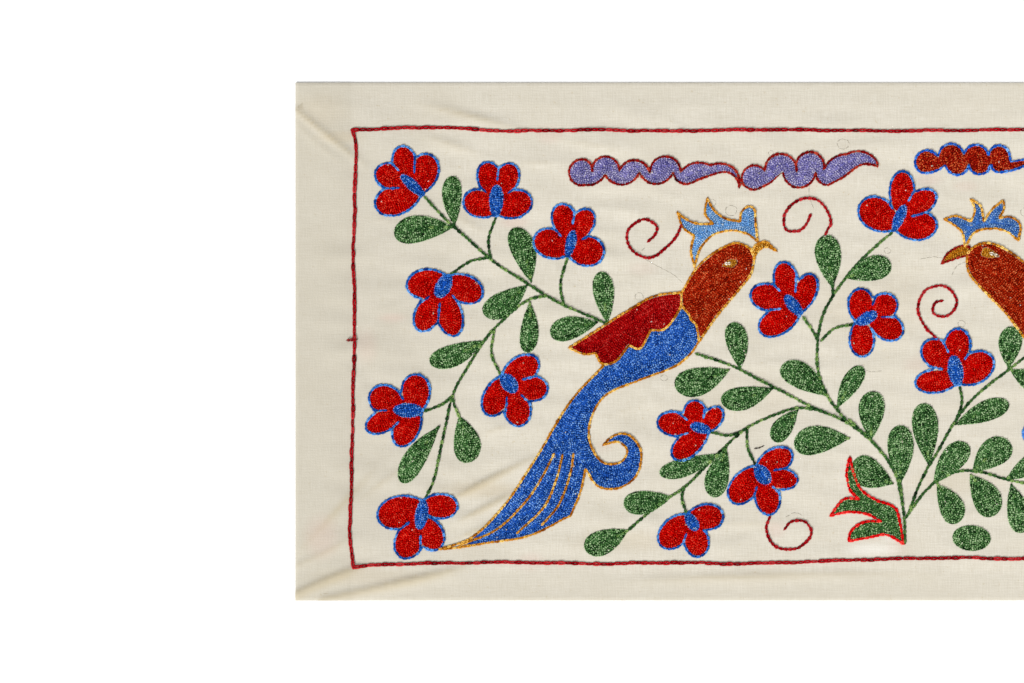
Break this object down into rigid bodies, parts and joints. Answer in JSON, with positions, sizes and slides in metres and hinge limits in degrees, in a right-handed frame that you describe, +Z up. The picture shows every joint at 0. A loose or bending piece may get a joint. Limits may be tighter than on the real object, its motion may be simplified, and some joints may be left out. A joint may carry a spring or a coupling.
{
  "type": "embroidered suzani textile panel",
  "caption": "Flat rectangular cotton panel with hemmed edges, chain-stitched all over with birds, flowers and leaves; laid as a runner or hung as a wall band.",
  "frame": {"origin": "on the surface that the cloth lies on, under the middle of the panel", "axes": "+X along the panel's length, towards the end that the right-hand bird has its tail at; +Y across its width, towards the birds' heads; +Z up, out of the embroidered face"},
  "size_m": [1, 0.44, 0.0046],
  "materials": {
    "cotton_ground": "unbleached plain-weave cotton, matt",
    "embroidery_thread": "chain-stitched floss in crimson, red, blues, greens, gold and lavender, soft sheen"
  },
  "bodies": {
    "root": {"suzani_cloth": "cotton_ground"}
  },
  "joints": []
}
